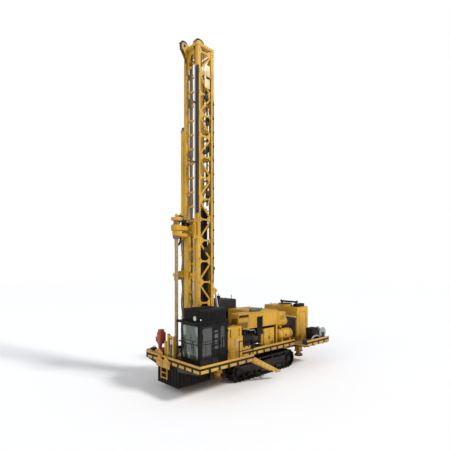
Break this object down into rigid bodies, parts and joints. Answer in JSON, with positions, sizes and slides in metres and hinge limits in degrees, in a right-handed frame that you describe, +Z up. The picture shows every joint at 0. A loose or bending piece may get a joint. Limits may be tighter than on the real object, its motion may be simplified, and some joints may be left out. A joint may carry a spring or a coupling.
{
  "type": "tracked rotary drilling rig",
  "caption": "Tracked rotary blasthole drilling rig: upright lattice mast with rotary head and drill pipe, side cab, deck with engine, cooler and tanks, jacks, folding stairs.",
  "frame": {"origin": "on the ground under the middle of the deck", "axes": "+Z up, +X from the drill end to the rear, -Y the cab side"},
  "size_m": [11.2, 5.7, 19],
  "materials": {
    "yellow_paint": "weathered satin",
    "black_paint": "satin",
    "dark_grey_paint": "matt",
    "red_paint": "satin",
    "bare_steel": "worn",
    "chrome_rod": "polished",
    "cast_steel": "worn",
    "curtain_rubber": "matt",
    "cab_glass": "tinted",
    "seat_cloth": "woven"
  },
  "bodies": {
    "chassis": {"main_frame": "yellow_paint", "undercarriage_beams": "yellow_paint", "track_near": "cast_steel", "track_far": "cast_steel", "track_frame_near": "yellow_paint", "track_frame_far": "yellow_paint", "deck_drill_end": "yellow_paint", "deck_middle": "yellow_paint", "deck_rear": "yellow_paint", "dust_curtain": "curtain_rubber", "drill_end_step": "yellow_paint", "mast_tower": "dark_grey_paint", "mast_rest": "dark_grey_paint", "wrench_post": "dark_grey_paint", "cab_shell": "black_paint", "cab_windscreen": "cab_glass", "cab_side_window": "cab_glass", "cab_drill_window": "cab_glass", "cab_rear_window": "cab_glass", "cab_roof_unit": "black_paint", "operator_seat": "seat_cloth", "rail_cab_side": "yellow_paint", "rail_far_side": "yellow_paint", "rail_rear": "black_paint", "hydraulic_tank": "yellow_paint", "tool_box": "yellow_paint", "engine_bay_roof": "yellow_paint", "engine_block": "cast_steel", "air_compressor": "dark_grey_paint", "control_cabinet": "yellow_paint", "air_receiver": "yellow_paint", "air_cleaner": "yellow_paint", "cooler": "yellow_paint", "dust_collector": "dark_grey_paint", "battery_box": "black_paint", "reel_stand": "dark_grey_paint"},
    "mast": {"mast_frame": "yellow_paint", "mast_crown": "yellow_paint", "hose_guide": "yellow_paint"},
    "rotary_head": {"rotary_head": "yellow_paint"},
    "drill_string": {"drill_pipe": "bare_steel"},
    "steady_arm": {"steady_arm": "yellow_paint"},
    "breakout_wrench": {"breakout_wrench": "red_paint"},
    "barrel_near": {"mast_cylinder_near_barrel": "yellow_paint"},
    "barrel_far": {"mast_cylinder_far_barrel": "yellow_paint"},
    "rod_near": {"mast_cylinder_near_rod": "chrome_rod"},
    "rod_far": {"mast_cylinder_far_rod": "chrome_rod"},
    "jack_drill_near": {"jack_drill_near": "yellow_paint"},
    "jack_drill_far": {"jack_drill_far": "yellow_paint"},
    "jack_rear_near": {"jack_rear_near": "yellow_paint"},
    "jack_rear_far": {"jack_rear_far": "yellow_paint"},
    "cab_door": {"cab_door": "black_paint", "door_window": "cab_glass"},
    "boarding_stairs": {"boarding_stairs": "yellow_paint"},
    "hose_reel": {"hose_reel": "bare_steel"},
    "cooler_fan": {"cooler_fan": "black_paint"},
    "sheave_near": {"crown_sheave_near": "dark_grey_paint"},
    "sheave_far": {"crown_sheave_far": "dark_grey_paint"}
  },
  "joints": [
    {"name": "mast_fold", "type": "hinge", "parent": "chassis", "child": "mast", "pos_m": [-2.6, 0, 3.9], "axis": [0, 1, 0], "range_deg": [0, 90]},
    {"name": "head_feed", "type": "slide", "parent": "mast", "child": "rotary_head", "axis": [0, 0, 1], "range_m": [-5.1, 7]},
    {"name": "string_turn", "type": "hinge", "parent": "rotary_head", "child": "drill_string", "pos_m": [-4.9, 0, 7.95], "axis": [0, 0, 1], "continuous": true},
    {"name": "steady_swing", "type": "hinge", "parent": "mast", "child": "steady_arm", "pos_m": [-4.45, 0.75, 5.85], "axis": [0, 0, 1], "range_deg": [0, 194]},
    {"name": "wrench_swing", "type": "hinge", "parent": "chassis", "child": "breakout_wrench", "pos_m": [-5.4, 0.8, 2.05], "axis": [0, 0, -1], "range_deg": [0, 118]},
    {"name": "barrel_near_tilt", "type": "hinge", "parent": "chassis", "child": "barrel_near", "pos_m": [-1.8, -0.42, 1.87], "axis": [0, 1, 0], "range_deg": [0, 25.69]},
    {"name": "barrel_far_tilt", "type": "hinge", "parent": "chassis", "child": "barrel_far", "pos_m": [-1.8, 0.42, 1.87], "axis": [0, 1, 0], "range_deg": [0, 25.69]},
    {"name": "rod_near_slide", "type": "slide", "parent": "barrel_near", "child": "rod_near", "axis": [-0.2229, 0, 0.9748], "range_m": [-1.335, 0]},
    {"name": "rod_far_slide", "type": "slide", "parent": "barrel_far", "child": "rod_far", "axis": [-0.2229, 0, 0.9748], "range_m": [-1.335, 0]},
    {"name": "jack_drill_near_lower", "type": "slide", "parent": "chassis", "child": "jack_drill_near", "axis": [0, 0, -1], "range_m": [0, 0.55]},
    {"name": "jack_drill_far_lower", "type": "slide", "parent": "chassis", "child": "jack_drill_far", "axis": [0, 0, -1], "range_m": [0, 0.55]},
    {"name": "jack_rear_near_lower", "type": "slide", "parent": "chassis", "child": "jack_rear_near", "axis": [0, 0, -1], "range_m": [0, 0.55]},
    {"name": "jack_rear_far_lower", "type": "slide", "parent": "chassis", "child": "jack_rear_far", "axis": [0, 0, -1], "range_m": [0, 0.55]},
    {"name": "cab_door_hinge", "type": "hinge", "parent": "chassis", "child": "cab_door", "pos_m": [-3.25, -2.226, 1.58], "axis": [0, 0, 1], "range_deg": [0, 95]},
    {"name": "stairs_fold", "type": "hinge", "parent": "chassis", "child": "boarding_stairs", "pos_m": [-1.82, -2.45, 1.5], "axis": [0, -1, 0], "range_deg": [0, 27]},
    {"name": "reel_turn", "type": "hinge", "parent": "chassis", "child": "hose_reel", "pos_m": [5.15, -2.45, 2.0803], "axis": [0, 1, 0], "continuous": true},
    {"name": "fan_turn", "type": "hinge", "parent": "chassis", "child": "cooler_fan", "pos_m": [4.52, 0, 3.78], "axis": [0, 0, 1], "continuous": true},
    {"name": "sheave_near_turn", "type": "hinge", "parent": "mast", "child": "sheave_near", "pos_m": [-3.6, -0.3, 18.64], "axis": [0, 1, 0], "continuous": true},
    {"name": "sheave_far_turn", "type": "hinge", "parent": "mast", "child": "sheave_far", "pos_m": [-4.12, 0.42, 18.75], "axis": [0, 1, 0], "continuous": true}
  ],
  "couplings": [
    {"joint": "barrel_near_tilt", "follows": "mast_fold", "ratio": 0.28538},
    {"joint": "barrel_far_tilt", "follows": "mast_fold", "ratio": 0.28538},
    {"joint": "rod_near_slide", "follows": "mast_fold", "m_per_rad": -0.84935},
    {"joint": "rod_far_slide", "follows": "mast_fold", "m_per_rad": -0.84935}
  ]
}
